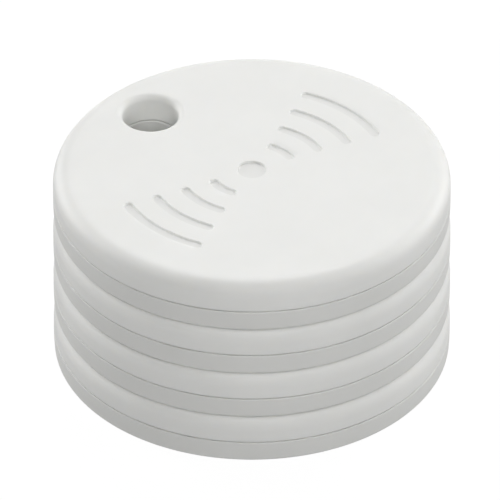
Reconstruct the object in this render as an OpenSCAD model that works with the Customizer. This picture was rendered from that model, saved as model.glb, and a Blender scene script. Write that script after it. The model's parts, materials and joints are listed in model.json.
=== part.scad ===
// A stack of round bluetooth tracker tags. Each tag is two white snap-together covers with a
// keyring hole, around a coin cell, a circuit board, a sounder disc and a press switch.
// Each tag rests flat on the one below it, with its keyring hole towards +Y.
// The origin is the middle of the lowest tag's underside.

/* [Stack] */
// Number of tags in the stack
tag_count = 4; // [1:1:4]
// Diameter of a tag
tag_d = 36.8; // [36.4:0.1:40]
// Thickness of a tag
tag_t = 5.0; // [5:0.1:6]

/* [Covers] */
// Radius of the rounded edge around the top face
top_round = 1.55; // [1.2:0.05:1.6]
// Radius of the small rounded edge around the underside
base_round = 0.3; // [0.1:0.05:0.5]
// How far the side leans in between the parting gap and the underside
base_lean = 0.1; // [0:0.05:0.3]
// Height of the middle of the parting gap between the two covers
part_z = 2.18; // [2.16:0.02:2.2]
// Width of the parting gap, which closes when the tag is pressed
part_gap = 0.1; // [0.09:0.01:0.15]
// Thickness of the top cover's roof
roof_t = 0.6; // [0.5:0.05:0.8]
// Thickness of the bottom cover's floor
floor_t = 0.6; // [0.5:0.05:0.6]
// Thickness of the top cover's side wall
skirt_t = 0.85; // [0.75:0.05:0.9]

/* [Keyring hole] */
// Radius of the keyring hole
hole_r = 2.6; // [2:0.1:2.8]
// Distance from the tag's middle to the hole's middle
hole_y = 12.95; // [12.9:0.05:13]
// Radius of the hole's rounded rim on the top face
hole_round = 0.6; // [0.3:0.05:0.6]
// Radius of the hole's rounded rim on the underside
hole_base_round = 0.4; // [0.2:0.05:0.5]
// Wall thickness of the collar around the hole
collar_t = 0.9; // [0.7:0.1:0.9]

/* [Beacon mark] */
// Depth of the mark pressed into the top face
mark_depth = 0.2; // [0.05:0.05:0.25]
// Radius of the dot in the middle
mark_dot_r = 1.3; // [0.8:0.1:1.6]
// Width of each arc
mark_w = 0.85; // [0.5:0.05:1]
// Radius of the smallest arc
mark_first_r = 4.0; // [3:0.1:4.5]
// Distance from one arc to the next
mark_step = 2.9; // [2:0.1:3]
// Number of arcs on each side of the dot
mark_arcs = 4; // [1:1:4]
// Angle that each arc covers
mark_angle = 44; // [20:1:60]

/* [Coin cell] */
// Diameter of the coin cell
cell_d = 20; // [18:0.1:20]
// Thickness of the coin cell
cell_t = 2.5; // [2:0.1:2.5]
// Distance from the tag's middle to the cell's middle, away from the hole
cell_y = 1.9; // [1.8:0.1:2]

/* [Electronics] */
// Radius of the circuit board
board_r = 17.2; // [16.8:0.1:17.2]
// Thickness of the circuit board
board_t = 0.5; // [0.4:0.05:0.5]
// Radius of the sounder's brass plate
plate_r = 10; // [8:0.1:10]
// Radius of the sounder's ceramic disc
ceramic_r = 7; // [5:0.1:7.5]
// Length of each side of the radio chip
chip_w = 4.4; // [3:0.1:4.4]
// Radius of the switch dome
dome_r = 2; // [1.5:0.1:2]

/* [Hidden] */
$fn = 96;
eps = 0.01;  // cutters pass a face by this much

tag_r = tag_d / 2;
cap_z = part_z + part_gap / 2;    // underside of the top cover's side wall
rim_z = part_z - part_gap / 2;    // shoulder of the bottom cover
roof_z = tag_t - roof_t;          // inside of the roof
round_z = tag_t - top_round;      // middle of the top edge's rounding
skirt_r = tag_r - skirt_t;        // inside of the top cover's side wall
inner_round = roof_z - round_z;   // rounding inside the top cover

slide_gap = 0.08;                 // between the lip and the side wall around it
lip_r = skirt_r - slide_gap;      // outside of the bottom cover's lip
step_h = part_gap;                // step on the shoulder, which closes the gap from behind
step_r = tag_r - 0.2;
recess_r = step_r + 0.05;         // the top cover's recess over the step
lip_t = 0.77;
lip_h = 1;                        // height of the lip above the shoulder
bay_r = lip_r - lip_t;            // inside of the bottom cover
collar_r = hole_r + collar_t;

seal_r = 0.2;                     // radius of the seal's round section
seal_groove = 0.35;               // depth of its groove in the lip
seal_groove_h = 0.5;
seal_z = rim_z + lip_h / 2;

cell_r = cell_d / 2;
pad_t = 0.1;
cell_z = floor_t + pad_t;
cell_round = 0.3;
cap_r = cell_r - 1.2;             // the cell's smaller negative cap
cap_h = 0.25;
cell_gap = 0.2;                   // between the cell and the wall around it
fence_t = 0.7;                    // wall around the cell
fence_notch = 5.2;

board_z = cell_z + cell_t + 0.2;
board_top = board_z + board_t;
notch_r = collar_r + 0.15;        // board's notch around the collar

post_r = 0.6;                     // posts that carry the board under the roof
post_ring = 15;                   // distance of each post from the tag's middle
post_head_r = 0.95;
post_head_t = 0.3;
post_gap = 0.1;
post_angles = [35, 145, 270];

metal_t = 0.08;                   // sheet thickness of the springs and the clip
plate_t = 0.15;
ceramic_t = 0.15;
plate_z = roof_z - plate_t;
ceramic_z = plate_z - ceramic_t;

switch_ring = 14.2;               // distance of the switch from the tag's middle
switch_angle = 305;
dome_h = 0.25;
nub_r = 0.8;
nub_gap = 0.02;

PIECES = [
    "bottom_cover", "seal_ring", "battery_pad", "battery",
    "circuit_board", "radio_chip", "antenna", "board_parts",
    "positive_clip", "negative_spring", "sounder_springs", "switch_dome",
    "sounder_plate", "sounder_ceramic", "top_cover"
];

function node_name(tag, piece) = str("tag", tag, "_", piece);

// The keyring hole's place, and the shared middle of the cell and the sounder
module at_hole() { translate([0, hole_y, 0]) children(); }
module at_cell() { translate([0, -cell_y, 0]) children(); }

// Moves to a place on a ring around the tag's middle
module on_ring(radius, angle) { rotate([0, 0, angle]) translate([radius, 0, 0]) children(); }

// A plate with its middle on the Z axis and its underside at z
module plate_at(size_x, size_y, z, thickness) {
    translate([-size_x / 2, -size_y / 2, z]) cube([size_x, size_y, thickness]);
}

// A ring with square edges
module ring(outer, inner, z, height) {
    difference() {
        translate([0, 0, z]) cylinder(r = outer, h = height);
        translate([0, 0, z - eps]) cylinder(r = inner, h = height + 2 * eps);
    }
}

// The sliver between a square corner and its rounding, at a hole's rim. It is cut away from the
// rim of a hole of the given radius, on a face at height 0 with the material below it.
module rim_cutter(radius, rounding) {
    rotate_extrude() difference() {
        translate([radius - eps, -rounding]) square([rounding + eps, rounding + eps]);
        translate([radius + rounding, -rounding]) circle(r = rounding);
    }
}

// --- covers ---

// Half outline of the tag from the parting gap up, with its rounded top edge
module cap_outline() {
    intersection() {
        union() {
            square([tag_r - top_round, tag_t]);
            square([tag_r, round_z]);
            translate([tag_r - top_round, round_z]) circle(r = top_round);
        }
        translate([0, cap_z]) square([tag_r, tag_t - cap_z]);
    }
}

// Half outline of the room inside the top cover, with the recess over the bottom cover's step
module cap_room_outline() {
    square([skirt_r - inner_round, roof_z]);
    square([recess_r, cap_z + part_gap]);
    square([skirt_r, round_z]);
    translate([skirt_r - inner_round, round_z]) circle(r = inner_round);
}

// A dot with arcs on both sides, which stands for a radio beacon
module beacon_mark() {
    translate([0, 0, tag_t - mark_depth]) {
        cylinder(r = mark_dot_r, h = mark_depth + eps);
        for (side = [0, 180])
            for (i = [0:mark_arcs - 1])
                rotate([0, 0, side - mark_angle / 2])
                    rotate_extrude(angle = mark_angle)
                        translate([mark_first_r + i * mark_step - mark_w / 2, 0])
                            square([mark_w, mark_depth + eps]);
    }
}

// A post under the roof, with a head that holds the board
module board_post() {
    translate([0, 0, board_z]) cylinder(r = post_r, h = roof_z - board_z + eps);
    translate([0, 0, board_z - post_head_t]) cylinder(r = post_head_r, h = post_head_t);
}

module top_cover() {
    color("whitesmoke") difference() {
        union() {
            difference() {
                rotate_extrude() cap_outline();
                rotate_extrude() cap_room_outline();
            }
            at_hole() translate([0, 0, cap_z]) cylinder(r = collar_r, h = roof_z - cap_z + eps);
            for (angle = post_angles) on_ring(post_ring, angle) board_post();
            on_ring(switch_ring, switch_angle)
                translate([0, 0, board_top + dome_h + nub_gap])
                    cylinder(r = nub_r, h = roof_z - board_top - dome_h);
        }
        at_hole() cylinder(r = hole_r, h = tag_t + eps);
        at_hole() translate([0, 0, tag_t]) rim_cutter(hole_r, hole_round);
        beacon_mark();
    }
}

// Half outline of the bottom cover's outside, with its leaning side and small rounded edge
module base_outline() {
    polygon([
        [0, 0],
        [tag_r - base_lean - base_round, 0],
        [tag_r - base_lean, base_round],
        [tag_r, rim_z],
        [0, rim_z]
    ]);
    translate([tag_r - base_lean - base_round, base_round]) circle(r = base_round);
    square([step_r, rim_z + step_h]);
    square([lip_r, rim_z + lip_h]);
}

// The wall around the coin cell, open where the clip passes and at the opposite side
module cell_fence() {
    difference() {
        ring(cell_r + cell_gap + fence_t, cell_r + cell_gap, floor_t - eps, board_z - floor_t + eps);
        translate([-fence_notch / 2, -cell_d, floor_t])
            cube([fence_notch, 2 * cell_d, board_z]);
    }
}

module bottom_cover() {
    color("white") difference() {
        union() {
            difference() {
                rotate_extrude() base_outline();
                translate([0, 0, floor_t]) cylinder(r = bay_r, h = tag_t);
                ring(tag_r, lip_r - seal_groove, seal_z - seal_groove_h / 2, seal_groove_h);
            }
            at_cell() cell_fence();
            at_hole() translate([0, 0, floor_t - eps])
                cylinder(r = collar_r, h = rim_z - floor_t + eps);
        }
        at_hole() translate([0, 0, -eps]) cylinder(r = hole_r, h = tag_t);
        at_hole() mirror([0, 0, 1]) rim_cutter(hole_r, hole_base_round);
    }
}

module seal_ring() {
    color("lightgray") rotate_extrude()
        translate([lip_r - seal_groove + seal_r + eps, seal_z]) circle(r = seal_r);
}

// --- power ---

module battery_pad() {
    color("dimgray") at_cell() translate([0, 0, floor_t]) cylinder(r = cell_r * 0.6, h = pad_t);
}

// The can with its rounded lower edge, and the smaller negative cap on top
module battery() {
    color("silver") at_cell() rotate_extrude() translate([0, cell_z]) {
        square([cell_r - cell_round, cell_t - cap_h]);
        translate([0, cell_round]) square([cell_r, cell_t - cap_h - cell_round]);
        translate([cell_r - cell_round, cell_round]) intersection() {
            circle(r = cell_round);
            translate([0, -cell_round]) square([cell_round, cell_round + eps]);
        }
        square([cap_r, cell_t]);
    }
}

// A foot under the board and a blade down the side of the cell
module positive_clip() {
    clip_w = 4;
    foot_l = 1.8;
    blade_h = 1.8;
    side_gap = 0.05;
    color("gold") translate([0, -cell_y - cell_r - side_gap, 0]) {
        translate([-clip_w / 2, -foot_l, board_z - metal_t]) cube([clip_w, foot_l, metal_t]);
        translate([-clip_w / 2, -metal_t, board_z - blade_h]) cube([clip_w, metal_t, blade_h]);
    }
}

// A strip folded back under itself, between the board and the cell's negative cap
module negative_spring() {
    strip_l = 8;
    strip_w = 2.6;
    color("gold") at_cell() {
        plate_at(strip_l, strip_w, board_z - metal_t, metal_t);
        plate_at(strip_l, strip_w, cell_z + cell_t, metal_t);
        translate([strip_l / 2 - metal_t, -strip_w / 2, cell_z + cell_t])
            cube([metal_t, strip_w, board_z - cell_z - cell_t]);
    }
}

// --- circuit board ---

module circuit_board() {
    color("darkgreen") difference() {
        translate([0, 0, board_z]) cylinder(r = board_r, h = board_t);
        at_hole() {
            translate([0, 0, board_z - eps]) cylinder(r = notch_r, h = board_t + 2 * eps);
            translate([-notch_r, 0, board_z - eps]) cube([2 * notch_r, tag_r, board_t + 2 * eps]);
        }
        for (angle = post_angles)
            on_ring(post_ring, angle)
                translate([0, 0, board_z - eps])
                    cylinder(r = post_r + post_gap, h = board_t + 2 * eps);
    }
}

module radio_chip() {
    chip_t = 0.8;
    color("black") translate([13.6, -cell_y, 0]) plate_at(chip_w, chip_w, board_z - chip_t, chip_t);
}

module antenna() {
    antenna_t = 0.9;
    color("ivory") translate([-13.9, -cell_y, 0]) plate_at(2, 7, board_z - antenna_t, antenna_t);
}

// The crystal beside the chip, and a curved row of capacitors around the cell
module board_parts() {
    part_ring = 12.9;
    crystal_t = 0.6;
    capacitor_t = 0.5;
    color("tan") at_cell() {
        on_ring(part_ring, 325) plate_at(2, 2.5, board_z - crystal_t, crystal_t);
        for (angle = [205:8:245])
            on_ring(part_ring, angle) plate_at(1, 0.5, board_z - capacitor_t, capacitor_t);
    }
}

// --- press switch and sounder ---

// A shallow metal dome on the board, turned from an arc through its rim and its top
module switch_dome() {
    ball_r = (dome_r * dome_r + dome_h * dome_h) / (2 * dome_h);
    color("silver") on_ring(switch_ring, switch_angle)
        translate([0, 0, board_top])
            rotate_extrude() intersection() {
                translate([0, dome_h - ball_r]) circle(r = ball_r, $fn = 720);
                square([dome_r + 1, dome_h]);
            }
}

// A strip bent into a C that stands on the board and reaches up to a given height
module contact_leaf(height) {
    leaf_l = 2.4;
    leaf_w = 1.2;
    plate_at(leaf_l, leaf_w, board_top, metal_t);
    plate_at(leaf_l, leaf_w, board_top + height - metal_t, metal_t);
    translate([-leaf_l / 2, -leaf_w / 2, board_top]) cube([metal_t, leaf_w, height]);
}

// One contact for the ceramic disc and one for the brass plate beyond its edge
module sounder_springs() {
    color("gold") at_cell() {
        contact_leaf(ceramic_z - board_top);
        translate([(ceramic_r + plate_r) / 2, 0, 0]) contact_leaf(plate_z - board_top);
    }
}

module sounder_plate() {
    color("goldenrod") at_cell() translate([0, 0, plate_z]) cylinder(r = plate_r, h = plate_t);
}

module sounder_ceramic() {
    color("linen") at_cell() translate([0, 0, ceramic_z]) cylinder(r = ceramic_r, h = ceramic_t);
}

// --- one tag's piece, by name ---

module draw_piece(piece) {
    if (piece == "bottom_cover") bottom_cover();
    if (piece == "seal_ring") seal_ring();
    if (piece == "battery_pad") battery_pad();
    if (piece == "battery") battery();
    if (piece == "circuit_board") circuit_board();
    if (piece == "radio_chip") radio_chip();
    if (piece == "antenna") antenna();
    if (piece == "board_parts") board_parts();
    if (piece == "positive_clip") positive_clip();
    if (piece == "negative_spring") negative_spring();
    if (piece == "sounder_springs") sounder_springs();
    if (piece == "switch_dome") switch_dome();
    if (piece == "sounder_plate") sounder_plate();
    if (piece == "sounder_ceramic") sounder_ceramic();
    if (piece == "top_cover") top_cover();
}

for (tag = [1:tag_count])
    for (piece = PIECES)
        translate([0, 0, (tag - 1) * tag_t]) draw_piece(piece);
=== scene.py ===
"""The looks of a stack of round tracker tags: covers, coin cells, circuit boards and sounders.

The file is laid out as a Blender add-on. Each operator makes one kind of piece for every tag,
and main() calls them in order. All lengths are in metres, in the frame's own coordinates.
"""
import json
from math import cos, pi, radians, sin, tan

import bmesh
import bpy
import numpy as np
from bpy.props import FloatProperty, FloatVectorProperty, IntProperty, PointerProperty
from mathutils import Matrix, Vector


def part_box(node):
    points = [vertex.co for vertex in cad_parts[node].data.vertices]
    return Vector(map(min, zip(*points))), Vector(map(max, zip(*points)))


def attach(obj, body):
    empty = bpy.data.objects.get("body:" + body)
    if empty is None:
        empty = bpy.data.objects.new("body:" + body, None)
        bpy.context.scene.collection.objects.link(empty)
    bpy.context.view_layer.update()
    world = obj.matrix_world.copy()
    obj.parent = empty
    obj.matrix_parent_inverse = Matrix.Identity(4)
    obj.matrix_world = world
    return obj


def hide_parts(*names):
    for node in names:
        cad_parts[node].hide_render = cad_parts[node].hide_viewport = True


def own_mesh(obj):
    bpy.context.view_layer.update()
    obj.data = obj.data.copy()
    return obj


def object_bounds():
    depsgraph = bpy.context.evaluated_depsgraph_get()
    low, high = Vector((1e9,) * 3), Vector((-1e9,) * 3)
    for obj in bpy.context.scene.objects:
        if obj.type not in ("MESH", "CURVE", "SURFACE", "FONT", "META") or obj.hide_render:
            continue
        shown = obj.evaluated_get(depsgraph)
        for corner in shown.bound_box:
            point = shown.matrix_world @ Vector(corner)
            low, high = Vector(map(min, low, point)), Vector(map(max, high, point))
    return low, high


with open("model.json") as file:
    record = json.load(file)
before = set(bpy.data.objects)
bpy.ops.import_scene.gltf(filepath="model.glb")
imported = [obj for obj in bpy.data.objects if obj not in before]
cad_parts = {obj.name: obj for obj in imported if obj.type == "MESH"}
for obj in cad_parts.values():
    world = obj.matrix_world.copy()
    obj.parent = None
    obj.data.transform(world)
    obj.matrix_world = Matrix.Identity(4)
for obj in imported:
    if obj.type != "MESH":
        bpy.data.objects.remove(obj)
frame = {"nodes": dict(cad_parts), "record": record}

bl_info = {
    "name": "Tracker tag stack",
    "version": (1, 0, 0),
    "blender": (4, 5, 0),
    "location": "3D View > Sidebar > Tracker",
    "description": "Covers, coin cells and electronics of a stack of round tracker tags",
    "category": "Add Mesh",
}

cad_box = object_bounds()

MM = 0.001
TAGS = sorted({node.split("_")[0] for node in frame["nodes"]})

CREASE = radians(35)

# covers
SLIDE_GAP = 0.08 * MM           # between the lip and the side wall around it
LIP_WALL = 0.77 * MM
LIP_HIGH = 1.0 * MM             # above the shoulder
GROOVE_IN = 0.35 * MM           # depth of the seal's groove, and half its height
GROOVE_HALF = 0.25 * MM
POST_RING = 15 * MM             # the posts' distance from the tag's middle
POST_ANGLES = np.radians([35, 145, 270])
POST_R, POST_HEAD_R, POST_HEAD_T = 0.6 * MM, 0.95 * MM, 0.3 * MM
NUB_R, NUB_GAP = 0.8 * MM, 0.02 * MM
CELL_GAP, FENCE_WALL = 0.2 * MM, 0.7 * MM
FENCE_GAP_HALF = 2.6 * MM       # half the width of each gap in the wall around the cell

# the covers' grid and the beacon mark
WINDOW_HALF = radians(17.5)     # half the window's angle around the keyring hole
WINDOW_START = 9.3 * MM         # the window's inner edge
SPOKE = radians(1.5)
MARK_HALF = radians(22)         # half the angle of the mark's arcs
MARK_DOT = 1.3 * MM
MARK_FIRST = 4.0 * MM
MARK_STEP = 2.9 * MM
MARK_SOFT = 0.06 * MM           # half the width of the mark's sloping edge
MARK_REACH = (14 * MM, 7 * MM)  # the mark lies within this of the middle, along and across
PATCH_EDGE = 0.02 * MM          # from a hole's rounding to the grid around it
COLLAR_EDGE = 0.05 * MM         # the same around the collar

# inside
CAP_R = 8.8 * MM                # the coin cell's cap, and how far it stands above the can
CAP_RISE = 0.25 * MM
SHEET = 0.08 * MM               # sheet metal of the contacts
SHEET_BEND = 0.055 * MM
LEAF_LONG = 2.4 * MM
PART_RING = 12.9 * MM           # the small parts' distance from the cell's middle
CRYSTAL_T, CAPACITOR_T = 0.6 * MM, 0.5 * MM
PAD_T, PAD_SUNK = 0.025 * MM, 0.01 * MM

# each light's place to the right of, behind and above the stack as the camera sees it, and its width
LIGHTS = {
    "back": (0.13, 0.65, 0.93, 0.60),
    "right": (0.45, -0.10, 0.22, 0.25),
    "front": (0.0, -0.45, 0.40, 0.30),
    "back_left": (-0.40, 0.30, 0.16, 0.25),
    "back_right": (0.40, 0.30, 0.16, 0.25),
}
FLOOR_HALF = 3.0                # half the floor's width
FLOOR_WHITE = 0.95              # how bright the floor and what is beyond it look
AIM_BELOW_TOP = 9.28 * MM
AIM_RIGHT = 0.17 * MM

FINISHES = {"seal_ring": "silicone", "circuit_board": "solder_mask"}   # of the CAD pieces that stay


def mm(*values):
    """Lengths given in millimetres, in metres."""
    return [value * MM for value in values]


# --- sizes read from the frame ---

def corners(node):
    """The lowest and highest corner of a CAD node, as arrays."""
    low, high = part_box(node)
    return np.array(low), np.array(high)


class Layout:
    """Where one tag's faces and pieces are, from the boxes of its CAD nodes."""

    def __init__(self, tag):
        def box(piece):
            return corners(f"{tag}_{piece}")

        cap_low, cap_high = box("top_cover")
        seal_low, seal_high = box("seal_ring")
        cell_low, cell_high = box("battery")
        pad_low, pad_high = box("battery_pad")
        board_low, board_high = box("circuit_board")
        plate_low, plate_high = box("sounder_plate")
        ceramic_low, ceramic_high = box("sounder_ceramic")
        dome_low, dome_high = box("switch_dome")
        hole = next(m for m in frame["record"]["mounts"] if m["name"] == f"{tag}_keyring_hole")
        press = next(j for j in frame["record"]["behaviour"]["joints"] if j["name"] == f"{tag}_press")
        self.tag = tag
        self.radius = cap_high[0]
        self.base, self.top, self.cap = box("bottom_cover")[0][2], cap_high[2], cap_low[2]
        self.hole_y, self.hole_r = hole["pos_m"][1], hole["dims"]["r_mm"] * MM
        self.seal_z = (seal_low[2] + seal_high[2]) / 2
        self.cell_r, self.cell_low, self.cell_high = cell_high[0], cell_low[2], cell_high[2]
        self.core_y = (cell_low[1] + cell_high[1]) / 2
        self.floor, self.pad_r, self.pad_high = pad_low[2], pad_high[0], pad_high[2]
        self.board_low, self.board_high = board_low[2], board_high[2]
        self.roof, self.plate_low, self.plate_r = plate_high[2], plate_low[2], plate_high[0]
        self.ceramic_low, self.ceramic_r = ceramic_low[2], ceramic_high[0]
        self.chip = box("radio_chip")
        self.antenna = box("antenna")
        self.clip = box("positive_clip")
        self.spring = box("negative_spring")
        self.leaves = box("sounder_springs")
        self.dome_centre = (dome_low[:2] + dome_high[:2]) / 2
        self.dome_r, self.dome_high = (dome_high[0] - dome_low[0]) / 2, dome_high[2]
        self.travel = press["range_m"][1]


LAYOUTS = [Layout(tag) for tag in TAGS]
LOWEST = LAYOUTS[0]


# --- settings that a user may change ---

def length(name, description, default, low, high):
    """A length, given in millimetres and kept in metres."""
    return FloatProperty(name=name, description=description, default=default * MM, min=low * MM, max=high * MM,
                         precision=5, subtype="DISTANCE", unit="LENGTH")


def colour(name, description, default):
    """A colour of a finish."""
    return FloatVectorProperty(name=name, description=description, default=default, min=0, max=1, size=3,
                               subtype="COLOR")


def power(name, description, default):
    """A light's power."""
    return FloatProperty(name=name, description=f"{description}, in watts", default=default, min=0, max=20,
                         subtype="POWER", unit="POWER")


class TrackerShape(bpy.types.PropertyGroup):
    """Roundings and wall sizes of the covers."""

    edge_round: length("Edge rounding", "Radius of the rounded edge around the top face",
                       1.55, 0.5, 1.6)
    lean: length("Side lean", "How far the lower cover's side curves in towards the underside",
                 0.06, 0, 0.4)
    base_round: length("Base rounding", "Radius of the rounded edge around the underside",
                       0.4, 0.05, 0.5)
    parting_gap: length("Parting gap", "Gap between the two covers around the side",
                        0.1, 0.05, 0.15)
    small_round: length("Parting edge rounding", "Radius of the edges beside the parting gap",
                        0.12, 0.02, 0.15)
    rim_round: length("Hole rim rounding", "Radius of the keyring hole's rim on the top face",
                      0.6, 0.1, 0.6)
    base_rim_round: length("Lower rim rounding", "Radius of the keyring hole's rim on the underside",
                           0.4, 0.1, 0.5)
    collar_wall: length("Collar wall", "Wall thickness around the keyring hole",
                        0.9, 0.6, 0.9)
    skirt_wall: length("Side wall", "Wall thickness of the top cover's side",
                       0.85, 0.7, 0.9)
    step_inset: length("Step inset", "How far behind the side the step that closes the parting gap stands",
                       0.2, 0.15, 0.5)
    mark_depth: length("Mark depth", "Depth of the beacon mark in the top face",
                       0.2, 0, 0.25)
    mark_width: length("Mark width", "Width of each arc of the beacon mark",
                       0.85, 0.4, 1.0)
    mark_arcs: IntProperty(
        name="Mark arcs", description="Number of arcs on each side of the mark's dot", default=4, min=1, max=4)


class TrackerLook(bpy.types.PropertyGroup):
    """Colours and finishes."""

    shell: colour("Top cover", "Colour of the upper covers' plastic", (0.88, 0.882, 0.86))
    # painted shade: the lower covers are the same white plastic as the top covers, coloured about a tenth
    # darker to stand in for the shade on the lower band
    base: colour("Bottom cover", "Colour of the lower covers' plastic", (0.798, 0.8, 0.778))
    board: colour("Board", "Colour of the solder mask", (0.012, 0.1, 0.045))
    shell_roughness: FloatProperty(
        name="Cover roughness", description="How matte the covers are",
        default=0.52, min=0.2, max=0.9, subtype="FACTOR")


class TrackerStage(bpy.types.PropertyGroup):
    """Camera and light."""

    azimuth: FloatProperty(
        name="Camera azimuth", description="Direction that the camera looks in, from +Y towards -X",
        default=radians(-46.6), subtype="ANGLE", unit="ROTATION")
    elevation: FloatProperty(
        name="Camera elevation", description="Angle of the camera above the floor",
        default=radians(36.5), min=0, max=radians(89), subtype="ANGLE", unit="ROTATION")
    distance: FloatProperty(
        name="Camera distance", description="Distance from the camera to the point it looks at",
        default=2.0, min=0.2, max=6, subtype="DISTANCE", unit="LENGTH")
    view_width: length("View width", "Width that the camera sees at the point it looks at",
                       46.37, 20, 200)
    back_power: power("Back light", "Power of the soft light above and behind", 5.13)
    right_power: power("Right light", "Power of the soft light on the right", 0.41)
    front_power: power("Front light", "Power of the soft light above the front", 1.39)
    back_left_power: power("Back left light", "Power of the low light behind on the left", 1.43)
    back_right_power: power("Back right light", "Power of the low light behind on the right", 1.05)
    fill: FloatProperty(
        name="Fill light", description="Strength of the even light from all around",
        default=0.1, min=0, max=2)
    floor_glow: FloatProperty(
        name="Floor glow", description="How much light the floor sends up onto the stack",
        default=0.45, min=0, max=1)


def shape():
    return bpy.context.scene.tracker_shape


def look():
    return bpy.context.scene.tracker_look


# --- surfaces ---

class Surface:
    """Grids of points and the faces between them, gathered into one mesh."""

    def __init__(self):
        self.points, self.faces, self.count = [], [], 0

    def place(self, points):
        """Adds an array of points, and returns their numbers in the same arrangement."""
        points = np.asarray(points, float)
        ids = self.count + np.arange(points[..., 0].size).reshape(points.shape[:-1])
        self.points.append(points.reshape(-1, 3))
        self.count += ids.size
        return ids

    def weave(self, ids, cells=None, closed=True):
        """Four-sided faces between neighbouring rows of points.

        A closed row joins its last point to its first. cells marks which faces are made.
        """
        if closed:
            ids = np.hstack([ids, ids[:, :1]])
        quads = np.stack([ids[:-1, :-1], ids[:-1, 1:], ids[1:, 1:], ids[1:, :-1]], -1)
        self.faces.append(quads[cells] if cells is not None else quads.reshape(-1, 4))

    def fan(self, ring, point):
        """Triangles from a closed ring of points to one point, which closes a pole."""
        tip = self.place(np.asarray(point, float)[None])
        self.faces.append(np.stack([ring, np.roll(ring, -1), np.broadcast_to(tip, ring.shape)], -1))

    def mesh(self, name):
        """The mesh without unused points, with faces outwards and edges sharper than CREASE kept sharp."""
        used = np.unique(np.concatenate([f.ravel() for f in self.faces]))
        number = np.zeros(self.count, int)
        number[used] = np.arange(used.size)
        points = np.concatenate(self.points)[used]
        faces = [face for block in self.faces for face in number[block].tolist()]
        mesh = bpy.data.meshes.new(name)
        mesh.from_pydata(points.tolist(), [], faces)
        work = bmesh.new()
        work.from_mesh(mesh)
        bmesh.ops.recalc_face_normals(work, faces=work.faces)
        work.to_mesh(mesh)
        work.free()
        mesh.shade_smooth()
        mesh.set_sharp_from_angle(angle=CREASE)
        return mesh


def rounded_path(points, radii, steps=8, hold=0.02 * MM):
    """A line through corner points with each inner corner turned into an arc of its radius.

    The arc's middle lies on the corner's bisector at radius / sin(half the corner's angle), and
    the arc is the slerp between its two touching points. A point a hold's length outside each end
    of the arc keeps the shading of the straight stretch even.
    """
    points = np.asarray(points, float)
    path = [points[:1]]
    for before, corner, after, radius in zip(points, points[1:], points[2:], radii):
        to_before = (before - corner) / np.linalg.norm(before - corner)
        to_after = (after - corner) / np.linalg.norm(after - corner)
        half = np.arccos(np.clip(to_before @ to_after, -1, 1)) / 2
        reach = radius / tan(half)
        middle = corner + (to_before + to_after) / np.linalg.norm(to_before + to_after) * radius / sin(half)
        start, end = corner + to_before * reach - middle, corner + to_after * reach - middle
        turn = pi - 2 * half
        s = np.linspace(0, 1, steps + 1)[:, None]
        arc = middle + (np.sin((1 - s) * turn) * start + np.sin(s * turn) * end) / sin(turn)
        path += [(corner + to_before * (reach + hold))[None], arc, (corner + to_after * (reach + hold))[None]]
    path.append(points[-1:])
    path = np.concatenate(path)
    apart = np.linalg.norm(np.diff(path, axis=0), axis=1) > 1e-7
    return path[np.append(True, apart)]


def turned(path, angles, middle=(0, 0)):
    """Each (radius, height) of a path carried around an upright axis.

    x = middle + radius * cos(angle), y = middle + radius * sin(angle) and z = height.

    angles is one row for the whole path, or one row for each of its points.
    """
    angles = np.broadcast_to(angles, (len(path), np.shape(angles)[-1]))
    radius, height = path[:, :1], np.broadcast_to(path[:, 1:], angles.shape)
    return np.stack([middle[0] + radius * np.cos(angles), middle[1] + radius * np.sin(angles), height], -1)


def turned_solid(surface, path, angles, middle=(0, 0)):
    """A closed solid turned from a path whose two ends are closed with a point on the axis."""
    ids = surface.place(turned(path, angles, middle))
    surface.weave(ids)
    surface.fan(ids[0], (*middle, path[0, 1]))
    surface.fan(ids[-1], (*middle, path[-1, 1]))


def turned_loop(surface, path, angles, middle=(0, 0)):
    """A ring turned from a closed path."""
    ids = surface.place(turned(path, angles, middle))
    surface.weave(np.vstack([ids, ids[:1]]))


def pierced_disc(surface, rings, spokes, window, hole_y, hole_r, height, steps=4):
    """A disc of rings and spokes with a round hole off its middle.

    A window of cells around the hole is left out. Each point on the window's edge is joined to
    the point of the hole's circle that lies on the straight line to the hole's middle, in equal
    steps. height gives z from x and y. Returns the outer ring, the hole's ring and its angles.
    """
    first_ring, first_spoke, last_spoke = window
    x, y = rings[:, None] * np.cos(spokes), rings[:, None] * np.sin(spokes)
    ids = surface.place(np.stack([x, y, height(x, y)], -1))
    cells = np.ones((len(rings) - 1, len(spokes)), bool)
    cells[first_ring:, first_spoke:last_spoke] = False
    surface.weave(ids, cells)
    surface.fan(ids[0], (0, 0, height(np.zeros(1), np.zeros(1))[0]))

    def edge(grid):
        return np.concatenate([
            grid[first_ring, first_spoke:last_spoke], grid[first_ring:-1, last_spoke],
            grid[-1, last_spoke:first_spoke:-1], grid[:first_ring:-1, first_spoke]])

    edge_x, edge_y = edge(x), edge(y) - hole_y
    angle = np.unwrap(np.arctan2(edge_y, edge_x))
    share = np.linspace(0, 1, steps + 1)[1:, None]
    x = edge_x + share * (hole_r * np.cos(angle) - edge_x)
    y = edge_y + share * (hole_r * np.sin(angle) - edge_y) + hole_y
    patch = surface.place(np.stack([x, y, height(x, y)], -1))
    surface.weave(np.vstack([edge(ids), patch]))
    return ids[-1], patch[-1], angle


def joined(surface, before, points, after):
    """Faces over a grid of points, joined to the ring before it and the ring after it."""
    ids = surface.place(points)
    surface.weave(np.vstack([before, ids, after]))


def swept_arc(surface, path, start, end, steps, middle):
    """A closed outline carried along part of a turn, with flat ends."""
    angles = np.linspace(start, end, steps)
    ids = surface.place(turned(path, angles, middle))
    surface.weave(np.vstack([ids, ids[:1]]), closed=False)
    for column in (0, -1):
        ring = turned(path, angles[column:][:1], middle)[:, 0]
        surface.fan(ids[:, column], ring.mean(0))


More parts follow.
